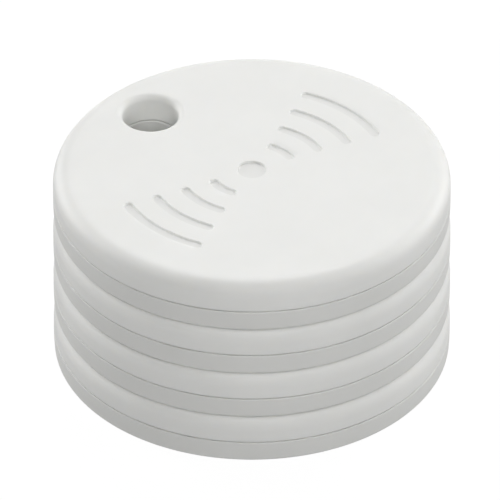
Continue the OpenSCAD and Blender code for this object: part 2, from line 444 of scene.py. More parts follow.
def rounded_outline(width, depth, radius, steps=4):
    """Points around a rectangle with round corners: four quarter circles about the corners' middles."""
    bend = np.linspace(0, pi / 2, steps + 1)
    quarters = []
    for i, (side_x, side_y) in enumerate(((1, 1), (-1, 1), (-1, -1), (1, -1))):
        turn = bend + i * pi / 2
        quarters.append(np.stack([side_x * (width / 2 - radius) + radius * np.cos(turn),
                                  side_y * (depth / 2 - radius) + radius * np.sin(turn)], -1))
    return np.concatenate(quarters)


def block(surface, middle, size, low, high, corner=0.06 * MM, edge=0.04 * MM, turn=0.0, steps=3):
    """A flat body with round corners: its outline is drawn in by edge * (1 - sin t) near both ends."""
    bend = np.linspace(0, pi / 2, steps + 1)
    levels = [(edge * (1 - sin(t)), low + edge * (1 - cos(t))) for t in bend]
    levels += [(edge * (1 - cos(t)), high - edge * (1 - sin(t))) for t in bend]
    rings = []
    for inset, height in levels:
        flat = rounded_outline(size[0] - 2 * inset, size[1] - 2 * inset, max(corner - inset, 0.3 * corner))
        x = middle[0] + flat[:, 0] * cos(turn) - flat[:, 1] * sin(turn)
        y = middle[1] + flat[:, 0] * sin(turn) + flat[:, 1] * cos(turn)
        rings.append(np.stack([x, y, np.full_like(x, height)], -1))
    ids = surface.place(np.array(rings))
    surface.weave(ids)
    surface.fan(ids[0], (*middle, low))
    surface.fan(ids[-1], (*middle, high))


def bent_strip(surface, points, radii, width, thickness, to_place, edge=0.015 * MM):
    """A strip of sheet metal bent along a line in (along, up), with its edges rounded a little.

    Each side of the strip is the line moved by half the thickness along its normal. to_place
    turns (along, across, up) into x, y and z.
    """
    line = rounded_path(points, radii, steps=6, hold=0.01 * MM)
    slope = np.gradient(line, axis=0)
    normal = np.stack([-slope[:, 1], slope[:, 0]], -1) / np.linalg.norm(slope, axis=1, keepdims=True)
    rows = []
    for across, inset in ((-width / 2, edge), (-width / 2 + edge, 0), (width / 2 - edge, 0), (width / 2, edge)):
        half = normal * (thickness / 2 - inset)
        loop = np.concatenate([line + half, (line - half)[::-1]])
        rows.append(np.stack(to_place(loop[:, 0], np.full(len(loop), across), loop[:, 1]), -1))
    ids = surface.place(np.array(rows))
    surface.weave(ids)
    for row in (ids[0], ids[-1]):
        surface.weave(np.vstack([row[:len(line)], row[:len(line) - 1:-1]]), closed=False)


def flat_ring(surface, outer, inner, low, high, middle=(0, 0), count=48, edge=0.01 * MM):
    """A flat ring with slightly rounded edges."""
    path = np.array([(inner, low), (outer, low), (outer, high - edge), (outer - edge, high),
                     (inner + edge, high), (inner, high - edge)])
    turned_loop(surface, path, full_turn(count), middle)


def at_angle(radius, angle, middle=(0, 0)):
    """The place on a ring around a middle."""
    return middle[0] + radius * cos(angle), middle[1] + radius * sin(angle)


def full_turn(count):
    return np.linspace(0, 2 * pi, count, endpoint=False)


# --- the covers' shared grid ---

def cover_spokes():
    """Even spokes, with closer ones where the mark's arcs end, and the window's first and last spoke."""
    even = np.arange(0, 2 * pi - SPOKE / 2, SPOKE)
    near_end = np.arange(radians(15.2), radians(22.9), radians(0.4))
    ends = np.concatenate([side + sign * near_end for side in (0, pi) for sign in (-1, 1)]) % (2 * pi)
    spokes = np.unique(np.round(np.concatenate([even, ends]), 4))
    first = np.argmin(abs(spokes - (pi / 2 - WINDOW_HALF)))
    last = np.argmin(abs(spokes - (pi / 2 + WINDOW_HALF)))
    return spokes, first, last


def cover_rings(outer, inside=False):
    """Ring radii out to the flat face's edge, closer at the mark's edges, and the window's first ring.

    Past the window's start the rings are the same inside and outside, apart from their scale, so
    that both faces have the same number of points around the hole.
    """
    offsets = np.array([-1.4, -1, -0.5, 0, 0.5, 1, 1.4]) * MARK_SOFT
    half = shape().mark_width / 2
    arcs = MARK_FIRST + MARK_STEP * np.arange(shape().mark_arcs)
    arc_lines = [arc + side * half + offsets for arc in arcs for side in (-1, 1)]
    arc_lines += [arc + np.array([-0.15, 0, 0.15]) * MM for arc in arcs]
    flat_r = shape().edge_round
    full = cover_flat(flat_r)
    near = np.concatenate([MARK_DOT + offsets, np.arange(0.3, 9.3, 0.6) * MM])
    far = np.concatenate([np.arange(WINDOW_START, full, 0.26 * MM), [full]])
    lines = np.unique(np.round(np.concatenate([near, far, *arc_lines]), 7))
    lines = lines[np.append(np.diff(lines) > 0.015 * MM, True)]
    beyond = lines[lines >= WINDOW_START - 1e-9]
    if inside:
        lines = np.concatenate([np.arange(1.2, 9, 1.3) * MM, beyond])
    first = len(lines) - len(beyond)
    return lines * (outer / full), first


def cover_flat(edge_round):
    """Radius of the flat part of the top face."""
    return LOWEST.radius - edge_round


def mark_distance(x, y):
    """How far a point is outside the beacon mark, negative inside it.

    It is the least distance to the dot or to an arc with round ends.
    """
    away = np.hypot(x, y)
    angle = np.arctan2(abs(y), abs(x))
    nearest = away - MARK_DOT
    half = shape().mark_width / 2
    for i in range(shape().mark_arcs):
        arc = MARK_FIRST + i * MARK_STEP
        held = np.minimum(angle, MARK_HALF - half / arc)
        to_arc = np.hypot(abs(x) - arc * np.cos(held), abs(y) - arc * np.sin(held)) - half
        nearest = np.minimum(nearest, to_arc)
    return nearest


# --- materials ---

def group_tree(name, inputs, outputs):
    """An empty shader node group with the given sockets, as (name, type, default)."""
    tree = bpy.data.node_groups.new(name, "ShaderNodeTree")
    for label, kind, default in inputs:
        socket = tree.interface.new_socket(label, in_out="INPUT", socket_type=kind)
        socket.default_value = default
    for label, kind in outputs:
        tree.interface.new_socket(label, in_out="OUTPUT", socket_type=kind)
    return tree, tree.nodes.new("NodeGroupInput"), tree.nodes.new("NodeGroupOutput")


def node(tree, kind, inputs=None, **settings):
    """A node with its settings, and each input set to a value or linked to a socket."""
    made = tree.nodes.new(kind)
    for key, value in settings.items():
        setattr(made, key, value)
    for key, value in (inputs or {}).items():
        if isinstance(value, bpy.types.NodeSocket):
            tree.links.new(value, made.inputs[key])
        else:
            made.inputs[key].default_value = value
    return made


def maths(tree, operation, *values, clamp=False):
    """The result of a Math node."""
    made = node(tree, "ShaderNodeMath", dict(enumerate(values)), operation=operation, use_clamp=clamp)
    return made.outputs[0]


def ranged(tree, value, low, high, to_low=0.0, to_high=1.0):
    """A value moved from one range to another, and kept inside it."""
    made = node(tree, "ShaderNodeMapRange",
                {"Value": value, "From Min": low, "From Max": high, "To Min": to_low, "To Max": to_high})
    return made.outputs[0]


def mixed(tree, share, a, b, blend="MIX"):
    """Two colours mixed by a share."""
    made = tree.nodes.new("ShaderNodeMix")
    made.data_type, made.blend_type = "RGBA", blend
    colours = [s for s in made.inputs if s.type == "RGBA"]
    for socket, value in zip((made.inputs["Factor"], *colours), (share, a, b)):
        if isinstance(value, bpy.types.NodeSocket):
            tree.links.new(value, socket)
        else:
            socket.default_value = (*value, 1) if isinstance(value, tuple) and len(value) == 3 else value
    return next(s for s in made.outputs if s.type == "RGBA")


def grain_group():
    """Fine grain of moulded or blasted surfaces: its height, and a slow cloud for colour and gloss."""
    tree, given, result = group_tree(
        "Fine grain",
        [("Vector", "NodeSocketVector", (0, 0, 0)), ("Grains per metre", "NodeSocketFloat", 9000.0),
         ("Cloud per metre", "NodeSocketFloat", 120.0)],
        [("Height", "NodeSocketFloat"), ("Cloud", "NodeSocketFloat")])
    fine = node(tree, "ShaderNodeTexNoise",
                {"Vector": given.outputs["Vector"], "Scale": given.outputs["Grains per metre"],
                 "Detail": 2.0, "Roughness": 0.6})
    cloud = node(tree, "ShaderNodeTexNoise",
                 {"Vector": given.outputs["Vector"], "Scale": given.outputs["Cloud per metre"],
                  "Detail": 3.0, "Roughness": 0.55})
    tree.links.new(fine.outputs[0], result.inputs["Height"])
    tree.links.new(cloud.outputs[0], result.inputs["Cloud"])
    return tree


def speck_group():
    """Sparse small specks, such as dust or dark flecks: 1 in a speck and 0 elsewhere."""
    tree, given, result = group_tree(
        "Specks",
        [("Vector", "NodeSocketVector", (0, 0, 0)), ("Cells per metre", "NodeSocketFloat", 500.0),
         ("Size", "NodeSocketFloat", 0.06), ("Amount", "NodeSocketFloat", 0.1)],
        [("Mask", "NodeSocketFloat")])
    cells = node(tree, "ShaderNodeTexVoronoi",
                 {"Vector": given.outputs["Vector"], "Scale": given.outputs["Cells per metre"]})
    chance = node(tree, "ShaderNodeSeparateColor", {"Color": cells.outputs["Color"]})
    chosen = maths(tree, "LESS_THAN", chance.outputs[0], given.outputs["Amount"])
    near = maths(tree, "LESS_THAN", cells.outputs["Distance"], given.outputs["Size"])
    tree.links.new(maths(tree, "MULTIPLY", chosen, near), result.inputs["Mask"])
    return tree


def polar(tree, vector, centre_y):
    """Distance and share of a turn around the point (0, centre_y)."""
    parts = node(tree, "ShaderNodeSeparateXYZ", {"Vector": vector})
    along = maths(tree, "SUBTRACT", parts.outputs["Y"], centre_y)
    squares = maths(tree, "ADD", *(maths(tree, "POWER", side, 2.0) for side in (parts.outputs["X"], along)))
    turn = maths(tree, "ARCTAN2", along, parts.outputs["X"])
    return maths(tree, "SQRT", squares), ranged(tree, turn, -pi, pi)


def away_from(tree, vector, x, y):
    """Distance from the upright line through (x, y): the root of the sum of both offsets' squares."""
    parts = node(tree, "ShaderNodeSeparateXYZ", {"Vector": vector})
    squares = [maths(tree, "POWER", maths(tree, "SUBTRACT", parts.outputs[axis], centre), 2.0)
               for axis, centre in zip("XY", (x, y))]
    return maths(tree, "SQRT", maths(tree, "ADD", *squares))


def turning_group():
    """Fine rings that a lathe leaves: noise that changes quickly with the distance from the middle."""
    tree, given, result = group_tree(
        "Turning marks",
        [("Vector", "NodeSocketVector", (0, 0, 0)), ("Centre Y", "NodeSocketFloat", 0.0),
         ("Rings per metre", "NodeSocketFloat", 9000.0)],
        [("Height", "NodeSocketFloat")])
    away, turn = polar(tree, given.outputs["Vector"], given.outputs["Centre Y"])
    rings = maths(tree, "MULTIPLY", away, given.outputs["Rings per metre"])
    place = node(tree, "ShaderNodeCombineXYZ", {"X": rings, "Y": maths(tree, "MULTIPLY", turn, 3.0)})
    noise = node(tree, "ShaderNodeTexNoise", {"Vector": place.outputs[0], "Scale": 1.0, "Detail": 2.0})
    tree.links.new(noise.outputs[0], result.inputs["Height"])
    return tree


def trace_group():
    """Copper lines on a round board: rings at an even pitch, each over its own stretch of the turn."""
    tree, given, result = group_tree(
        "Copper traces",
        [("Vector", "NodeSocketVector", (0, 0, 0)), ("Centre Y", "NodeSocketFloat", 0.0),
         ("Pitch", "NodeSocketFloat", 0.5 * MM), ("Share", "NodeSocketFloat", 0.4)],
        [("Mask", "NodeSocketFloat")])
    away, turn = polar(tree, given.outputs["Vector"], given.outputs["Centre Y"])
    rings = maths(tree, "DIVIDE", away, given.outputs["Pitch"])
    number = maths(tree, "FLOOR", rings)
    chance = node(tree, "ShaderNodeTexWhiteNoise", {"W": number}, noise_dimensions="1D")
    off_line = maths(tree, "ABSOLUTE", maths(tree, "SUBTRACT", maths(tree, "FRACT", rings), 0.5))
    line = maths(tree, "LESS_THAN", off_line, maths(tree, "MULTIPLY", given.outputs["Share"], 0.5))
    started = maths(tree, "ADD", maths(tree, "MULTIPLY", turn, 2.0), chance.outputs["Value"])
    place = maths(tree, "FRACT", started)
    stretch = maths(tree, "LESS_THAN", place, 0.55)
    tree.links.new(maths(tree, "MULTIPLY", line, stretch), result.inputs["Mask"])
    return tree


GROUP_MAKERS = {"grain": grain_group, "specks": speck_group, "turning": turning_group, "traces": trace_group}
GROUP_TREES = {}


def groups(key):
    """A shared node group, made when it is first asked for."""
    if key not in GROUP_TREES:
        GROUP_TREES[key] = GROUP_MAKERS[key]()
    return GROUP_TREES[key]


def material(name, colour, roughness, metallic=0.0):
    """A new material. Returns it, its tree, its Principled shader and the object's own coordinates."""
    made = bpy.data.materials.new(name)
    made.use_nodes = True
    tree = made.node_tree
    shader = tree.nodes["Principled BSDF"]
    shader.inputs["Base Color"].default_value = (*colour, 1)
    shader.inputs["Roughness"].default_value = roughness
    shader.inputs["Metallic"].default_value = metallic
    place = tree.nodes.new("ShaderNodeTexCoord").outputs["Object"]
    return made, tree, shader, place


def use_group(tree, key, **inputs):
    """One of the shared groups, placed in a material."""
    made = tree.nodes.new("ShaderNodeGroup")
    made.node_tree = groups(key)
    for label, value in inputs.items():
        socket = made.inputs[label.replace("_", " ")]
        if isinstance(value, bpy.types.NodeSocket):
            tree.links.new(value, socket)
        else:
            socket.default_value = value
    return made


def bump(tree, shader, height, depth):
    """A height from 0 to 1, as deep as depth, pressed into the shader's normal."""
    made = node(tree, "ShaderNodeBump", {"Height": height, "Strength": 1.0, "Distance": depth})
    tree.links.new(made.outputs["Normal"], shader.inputs["Normal"])


def mark_shade_mask(tree, place):
    """Where painted shade darkens the mark's floor: 1 near its depth under a tag's top face, within its length
    and width.
    """
    parts = node(tree, "ShaderNodeSeparateXYZ", {"Vector": place})
    under = maths(tree, "FLOORED_MODULO", maths(tree, "SUBTRACT", LOWEST.top, parts.outputs["Z"]),
                  LOWEST.top - LOWEST.base)
    depth = shape().mark_depth
    off_floor = maths(tree, "ABSOLUTE", maths(tree, "SUBTRACT", under, depth))
    near_floor = ranged(tree, off_floor, 0.3 * depth, 0.6 * depth, 1, 0)
    in_length, in_width = (maths(tree, "LESS_THAN", maths(tree, "ABSOLUTE", parts.outputs[axis]), reach)
                           for axis, reach in zip("XY", MARK_REACH))
    return maths(tree, "MULTIPLY", near_floor, maths(tree, "MULTIPLY", in_width, in_length))


def shell_plastic(name, colour, marked=False):
    """White moulded plastic: very fine grain, a faint cloud in colour and gloss, and light that sinks in. When
    marked, painted shade darkens the mark's floor.
    """
    made, tree, shader, place = material(name, colour, look().shell_roughness)
    grain = use_group(tree, "grain", Vector=place, Grains_per_metre=11000, Cloud_per_metre=160)
    cloud = grain.outputs["Cloud"]
    dim = tuple(0.975 * c for c in colour)
    tone = mixed(tree, ranged(tree, cloud, 0.35, 0.65), dim, tuple(colour))
    # painted shade: the mark's floor is darkened to 0.93 of the plastic's colour, as shade in the pressed-in
    # mark
    if marked:
        tone = mixed(tree, mark_shade_mask(tree, place), tone, tuple(0.93 * c for c in colour))
    tree.links.new(tone, shader.inputs["Base Color"])
    rough = look().shell_roughness
    tree.links.new(ranged(tree, cloud, 0.3, 0.7, rough - 0.04, rough + 0.04), shader.inputs["Roughness"])
    bump(tree, shader, grain.outputs["Height"], 0.006 * MM)
    shader.inputs["Subsurface Weight"].default_value = 0.25
    shader.inputs["Subsurface Radius"].default_value = (1.0, 0.95, 0.85)
    shader.inputs["Subsurface Scale"].default_value = 0.5 * MM
    shader.inputs["IOR"].default_value = 1.5
    return made


def plain_finish(name, colour, roughness, metallic=0.0, grains=8000, depth=0.004 * MM, spread=0.9):
    """A finish with fine grain and a slightly clouded colour."""
    made, tree, shader, place = material(name, colour, roughness, metallic)
    grain = use_group(tree, "grain", Vector=place, Grains_per_metre=grains)
    dim = tuple(spread * c for c in colour)
    tree.links.new(mixed(tree, ranged(tree, grain.outputs["Cloud"], 0.3, 0.7), dim, tuple(colour)),
                   shader.inputs["Base Color"])
    bump(tree, shader, grain.outputs["Height"], depth)
    return made


def turned_metal(name, colour, roughness, rings=9000, depth=0.002 * MM):
    """Metal with fine rings around the coin cell's axis, and a little cloud in its gloss."""
    made, tree, shader, place = material(name, colour, roughness, 1.0)
    marks = use_group(tree, "turning", Vector=place, Centre_Y=LOWEST.core_y, Rings_per_metre=rings)
    cloud = use_group(tree, "grain", Vector=place, Cloud_per_metre=400.0).outputs["Cloud"]
    gloss = ranged(tree, cloud, 0.3, 0.7, roughness - 0.05, roughness + 0.08)
    tree.links.new(gloss, shader.inputs["Roughness"])
    bump(tree, shader, marks.outputs["Height"], depth)
    return made


def stippled_steel(name):
    """The coin cell's cap: steel pressed with a close pattern of small dots."""
    made, tree, shader, place = material(name, (0.66, 0.655, 0.64), 0.32, 1.0)
    dots = use_group(tree, "specks", Vector=place, Cells_per_metre=3200.0, Size=0.3, Amount=1.0)
    grain = use_group(tree, "grain", Vector=place, Cloud_per_metre=300.0)
    tree.links.new(ranged(tree, grain.outputs["Cloud"], 0.3, 0.7, 0.28, 0.4), shader.inputs["Roughness"])
    bump(tree, shader, dots.outputs["Mask"], 0.01 * MM)
    return made


def board_finish(name, mask_colour):
    """Solder mask over copper lines and vias, a printed ring around the dome, and a bare glass-fibre edge."""
    made, tree, shader, place = material(name, mask_colour, 0.3)
    traces = use_group(tree, "traces", Vector=place, Centre_Y=LOWEST.core_y).outputs["Mask"]
    over_copper = tuple(min(1.0, 1.9 * c + 0.01) for c in mask_colour)
    colour = mixed(tree, traces, mask_colour, over_copper)
    vias = use_group(tree, "specks", Vector=place, Cells_per_metre=520.0, Size=0.13, Amount=0.5).outputs["Mask"]
    colour = mixed(tree, vias, colour, (0.6, 0.42, 0.16))
    away = away_from(tree, place, *LOWEST.dome_centre)
    off_print = maths(tree, "ABSOLUTE", maths(tree, "SUBTRACT", away, LOWEST.dome_r + 0.65 * MM))
    normal = node(tree, "ShaderNodeTexCoord").outputs["Normal"]
    facing = node(tree, "ShaderNodeSeparateXYZ", {"Vector": normal}).outputs["Z"]
    upright = maths(tree, "ABSOLUTE", facing)
    ring = maths(tree, "LESS_THAN", off_print, 0.07 * MM)
    printed = maths(tree, "MULTIPLY", ring, maths(tree, "GREATER_THAN", facing, 0.5))
    colour = mixed(tree, printed, colour, (0.72, 0.72, 0.7))
    grain = use_group(tree, "grain", Vector=place, Grains_per_metre=6000.0)
    fibre = mixed(tree, grain.outputs["Height"], (0.3, 0.33, 0.14), (0.5, 0.52, 0.3))
    edge = maths(tree, "LESS_THAN", upright, 0.5)
    tree.links.new(mixed(tree, edge, colour, fibre), shader.inputs["Base Color"])
    tree.links.new(ranged(tree, edge, 0, 1, 0.3, 0.75), shader.inputs["Roughness"])
    bump(tree, shader, traces, 0.012 * MM)
    return made


def chip_finish(name):
    """Black moulded package with a small round mark at one corner."""
    made, tree, shader, place = material(name, (0.016, 0.016, 0.018), 0.55)
    corner = LOWEST.chip[1] - 0.8 * MM
    dot = maths(tree, "LESS_THAN", away_from(tree, place, corner[0], corner[1]), 0.25 * MM)
    grain = use_group(tree, "grain", Vector=place, Grains_per_metre=16000.0)
    body = mixed(tree, grain.outputs["Cloud"], (0.013, 0.013, 0.015), (0.022, 0.022, 0.024))
    tree.links.new(mixed(tree, dot, body, (0.25, 0.25, 0.25)), shader.inputs["Base Color"])
    bump(tree, shader, grain.outputs["Height"], 0.006 * MM)
    return made


FINISH_MAKERS = {
    # the top covers' white, with painted shade on the mark's floor
    "top_plastic": lambda name: shell_plastic(name, tuple(look().shell), marked=True),
    # painted shade: the lower covers' plastic is a darker copy of the top covers' white
    "bottom_plastic": lambda name: shell_plastic(name, tuple(look().base)),
    "silicone": lambda name: plain_finish(name, (0.42, 0.43, 0.44), 0.45),
    "foam": lambda name: plain_finish(name, (0.03, 0.03, 0.032), 0.95, grains=5000, depth=0.05 * MM),
    "cell_can": lambda name: turned_metal(name, (0.66, 0.655, 0.645), 0.3, 7000, 0.001 * MM),
    "cell_cap": lambda name: stippled_steel(name),
    "gasket": lambda name: plain_finish(name, (0.04, 0.042, 0.045), 0.5),
    "solder_mask": lambda name: board_finish(name, tuple(look().board)),
    "chip_black": lambda name: chip_finish(name),
    "tin": lambda name: plain_finish(name, (0.7, 0.7, 0.69), 0.34, metallic=1.0, grains=12000,
                                     depth=0.003 * MM),
    "pale_ceramic": lambda name: plain_finish(name, (0.6, 0.56, 0.48), 0.5),
    "tan_ceramic": lambda name: plain_finish(name, (0.36, 0.25, 0.14), 0.45),
    "gold_plate": lambda name: plain_finish(name, (0.86, 0.62, 0.25), 0.27, metallic=1.0, depth=0.0012 * MM),
    "dome_steel": lambda name: plain_finish(name, (0.7, 0.69, 0.67), 0.22, metallic=1.0),
    "brass": lambda name: turned_metal(name, (0.78, 0.57, 0.25), 0.3, 5000),
    "disc_ceramic": lambda name: plain_finish(name, (0.74, 0.71, 0.64), 0.55),
    "silver_print": lambda name: plain_finish(name, (0.74, 0.73, 0.7), 0.42, metallic=0.8, spread=0.8),
    "glue": lambda name: plain_finish(name, (0.7, 0.66, 0.54), 0.2),
}


def finish_named(name):
    """The material of that name, made when it is first asked for."""
    return bpy.data.materials.get(name) or FINISH_MAKERS[name](name)


def keep(at, surface, name, finish, body, slot, *replaced):
    """Turns a surface into a tag's piece that rides on a body and stands for CAD nodes."""
    piece = bpy.data.objects.new(f"{at.tag}_{name}", surface.mesh(f"{at.tag}_{name}"))
    bpy.context.scene.collection.objects.link(piece)
    piece.data.materials.append(finish_named(finish))
    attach(piece, f"{at.tag}_{body}")
    if replaced:
        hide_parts(*[f"{at.tag}_{node}" for node in replaced])
    return piece


def yield_to_press(piece):
    """Gives a springy piece on the board a mesh of its own."""
    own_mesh(piece)


# --- operators, one for each kind of piece ---

def cover_face(surface, at, outer, hole_r, height, inside=True):
    """One face of a cover, pierced by the keyring hole. height is a level, or gives z from x and y."""
    spokes, first_spoke, last_spoke = cover_spokes()
    rings, first_ring = cover_rings(outer, inside)
    level = height if callable(height) else lambda x, y: np.full_like(x, height)
    return pierced_disc(surface, rings, spokes, (first_ring, first_spoke, last_spoke), at.hole_y, hole_r, level)


def cover_bore(surface, at, points, radii, steps, start, end):
    """The wall of the keyring hole and its collar, between a ring around the hole and one around the collar.

    start and end are each a ring and its angles. The angles pass evenly from one to the other.
    """
    path = rounded_path(points, radii, steps=steps, hold=0.01 * MM)[1:-1]
    (first, first_angle), (last, last_angle) = start, end
    share = np.linspace(0, 1, len(path))[:, None]
    joined(surface, first, turned(path, first_angle + share * (last_angle - first_angle), (0, at.hole_y)), last)


class TRACKER_OT_top_covers(bpy.types.Operator):
    """Makes the upper covers, with the rounded edge, the mark and the keyring hole's upper half."""

    bl_idname = "tracker.top_covers"
    bl_label = "Top covers"

    def execute(self, context):
        for at in LAYOUTS:
            surface = Surface()
            self.shell(surface, at)
            self.pegs(surface, at)
            keep(at, surface, "cover", "top_plastic", "lid", "top_shell", "top_cover")
        return {"FINISHED"}

    def shell(self, surface, at):
        """The marked face carried over the edge, down the side and back inside to the roof's lower face."""
        sizes = shape()
        small = sizes.small_round
        flat_r = at.radius - sizes.edge_round
        inner_r = at.radius - sizes.skirt_wall
        inner_round = at.roof - (at.top - sizes.edge_round)
        roof_r = inner_r - inner_round
        rim_r = at.hole_r + sizes.rim_round + PATCH_EDGE
        collar_r = at.hole_r + sizes.collar_wall

        def marked(x, y):
            inside = np.clip((MARK_SOFT - mark_distance(x, y)) / (2 * MARK_SOFT), 0, 1)
            return at.top - sizes.mark_depth * inside * inside * (3 - 2 * inside)

        outer, *rim = cover_face(surface, at, flat_r, rim_r, marked, inside=False)
        roof, *collar = cover_face(surface, at, roof_r, collar_r + COLLAR_EDGE, at.roof)

        recess_r = at.radius - sizes.step_inset + 0.05 * MM
        step = at.cap + sizes.parting_gap
        side = rounded_path(
            [(flat_r - 0.05 * MM, at.top), (at.radius, at.top), (at.radius, at.cap), (recess_r, at.cap),
             (recess_r, step), (inner_r, step), (inner_r, at.roof), (roof_r - 0.05 * MM, at.roof)],
            [sizes.edge_round, small, *mm(0.03, 0.02, 0.04), inner_round - 0.01 * MM], steps=10, hold=0.01 * MM)
        side = side[(side[:, 0] > flat_r + 1e-6) | (side[:, 1] < at.top - 1e-6)]
        side = side[(side[:, 0] > roof_r + 1e-6) | (side[:, 1] > at.roof + 1e-6)]
        joined(surface, outer, turned(side, cover_spokes()[0]), roof)

        cover_bore(surface, at,
                   [(rim_r, at.top), (at.hole_r, at.top), (at.hole_r, at.cap), (collar_r, at.cap),
                    (collar_r, at.roof), (collar_r + COLLAR_EDGE, at.roof)],
                   [sizes.rim_round, small, small, 0.04 * MM], 10, rim, collar)

    def pegs(self, surface, at):
        """The three posts that carry the board, each with a head under it, and the nub over the switch."""
        around = full_turn(40)
        into_roof = at.roof + 0.1 * MM
        head, inner = at.board_low, 0.3 * MM
        post = rounded_path(
            [(inner, head - POST_HEAD_T), (POST_HEAD_R, head - POST_HEAD_T), (POST_HEAD_R, head),
             (POST_R, head), (POST_R, into_roof), (inner, into_roof)],
            mm(0.15, 0.05, 0.02, 0.05), steps=5, hold=0.01 * MM)
        for angle in POST_ANGLES:
            turned_solid(surface, post, around, at_angle(POST_RING, angle))
        tip = at.dome_high + NUB_GAP
        nub = rounded_path([(0.2 * MM, tip), (NUB_R, tip), (NUB_R, into_roof), (0.4 * MM, into_roof)],
                           mm(0.1, 0.05), steps=4, hold=0.01 * MM)
        turned_solid(surface, nub, around, tuple(at.dome_centre))


class TRACKER_OT_bottom_covers(bpy.types.Operator):
    """Makes the lower covers, with lip, seal groove, wall around the cell and the hole's lower half."""

    bl_idname = "tracker.bottom_covers"
    bl_label = "Bottom covers"

    def execute(self, context):
        for at in LAYOUTS:
            surface = Surface()
            self.shell(surface, at)
            self.fence(surface, at)
            keep(at, surface, "base_cover", "bottom_plastic", "base", "bottom_shell", "bottom_cover")
        return {"FINISHED"}

    def shell(self, surface, at):
        """The underside carried up the side, over the shoulder and the lip, and down inside to the floor."""
        sizes = shape()
        small, foot_round, fillet = sizes.small_round, sizes.base_round, 0.1 * MM
        rim = at.cap - sizes.parting_gap
        foot_r = at.radius - sizes.lean - foot_round
        lip_r = at.radius - sizes.skirt_wall - SLIDE_GAP
        bay_r = lip_r - LIP_WALL
        lip_top = rim + LIP_HIGH
        rim_r = at.hole_r + sizes.base_rim_round + PATCH_EDGE
        collar_r = at.hole_r + sizes.collar_wall
        foot, *hole = cover_face(surface, at, foot_r, rim_r, at.base)
        floor, *collar = cover_face(surface, at, bay_r - fillet, collar_r + COLLAR_EDGE, at.floor)

        turn = np.linspace(-pi / 2, 0, 9)[1:]
        foot_arc = np.stack([foot_r + foot_round * np.cos(turn), at.base + foot_round * (1 + np.sin(turn))], -1)
        height = np.linspace(at.base + foot_round, rim - small - 0.03 * MM, 14)[1:]
        drop = (rim - height) / (rim - at.base - foot_round)
        wall = np.stack([at.radius - sizes.lean * drop ** 2, height], -1)
        step_r, groove_r = at.radius - sizes.step_inset, lip_r - GROOVE_IN
        groove_low, groove_high = at.seal_z - GROOVE_HALF, at.seal_z + GROOVE_HALF
        top = rounded_path(
            [(at.radius, rim - small - 0.03 * MM), (at.radius, rim), (step_r, rim), (step_r, at.cap),
             (lip_r, at.cap), (lip_r, groove_low), (groove_r, groove_low), (groove_r, groove_high),
             (lip_r, groove_high), (lip_r, lip_top), (bay_r, lip_top), (bay_r, at.floor),
             (bay_r - fillet, at.floor)],
            [small, *mm(0.03, 0.04, 0.02, 0.03, 0.03, 0.03, 0.03, 0.1, 0.08), fillet * 0.9],
            steps=5, hold=0.01 * MM)[1:-1]
        joined(surface, foot, turned(np.concatenate([foot_arc, wall, top]), cover_spokes()[0]), floor)

        cover_bore(surface, at,
                   [(rim_r, at.base), (at.hole_r, at.base), (at.hole_r, rim), (collar_r, rim),
                    (collar_r, at.floor), (collar_r + COLLAR_EDGE, at.floor)],
                   [sizes.base_rim_round, small, small, 0.04 * MM], 8, hole, collar)

    def fence(self, surface, at):
        """Two arcs of wall around the coin cell, with a gap for the clip and one to lift the cell by."""
        inner = at.cell_r + CELL_GAP
        outer = inner + FENCE_WALL
        low, high, cut = at.floor - 0.1 * MM, at.board_low, 0.12 * MM
        path = np.array([(inner, low), (outer, low), (outer, high - cut), (outer - cut, high),
                         (inner + cut, high), (inner, high - cut)])
        gap = np.arcsin(FENCE_GAP_HALF / inner)
        for side in (-pi / 2, pi / 2):
            swept_arc(surface, path, side + gap, side + pi - gap, 90, (0, at.core_y))


